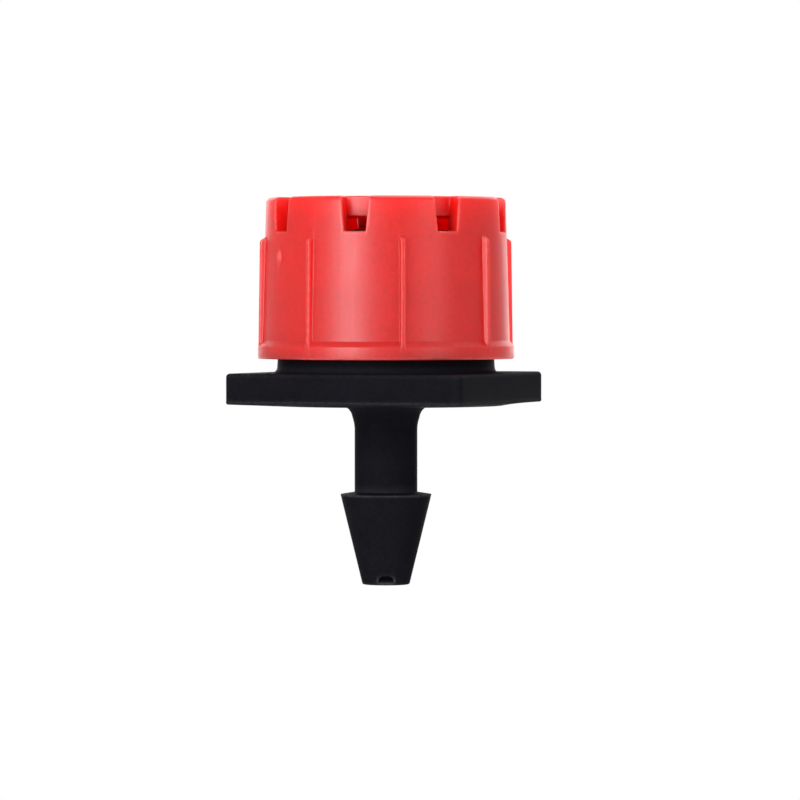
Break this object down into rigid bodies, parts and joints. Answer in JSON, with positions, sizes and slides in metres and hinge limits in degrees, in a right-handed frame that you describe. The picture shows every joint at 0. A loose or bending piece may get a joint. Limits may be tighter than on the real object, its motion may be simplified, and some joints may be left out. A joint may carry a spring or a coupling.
{
  "type": "drip emitter",
  "caption": "Adjustable drip emitter: a hose barb under a square grip plate, and a screw cap whose needle meters water to notched outlets around its rim.",
  "frame": {"origin": "on the emitter's axis, at the underside of the square plate, where a hose pushed over the barb stops", "axes": "+Z along the axis, from the barb towards the cap; +X and +Y square to the plate's sides"},
  "size_m": [0.0176, 0.0176, 0.0265],
  "materials": {
    "black_plastic": "satin moulded",
    "seal_rubber": "matte",
    "red_plastic": "satin moulded, slightly translucent"
  },
  "bodies": {
    "base": {"emitter_base": "black_plastic"},
    "seal": {"seal_ring": "seal_rubber"},
    "cap": {"outlet_cap": "red_plastic"}
  },
  "joints": [
    {"name": "cap_turn", "type": "hinge", "parent": "base", "child": "seal", "pos_m": [0, 0, 0], "axis": [0, 0, 1], "range_deg": [0, 450]},
    {"name": "cap_rise", "type": "slide", "parent": "seal", "child": "cap", "axis": [0, 0, 1], "range_m": [0, 0.002]}
  ],
  "couplings": [
    {"joint": "cap_turn", "follows": "cap_rise", "rad_per_m": 3927}
  ]
}
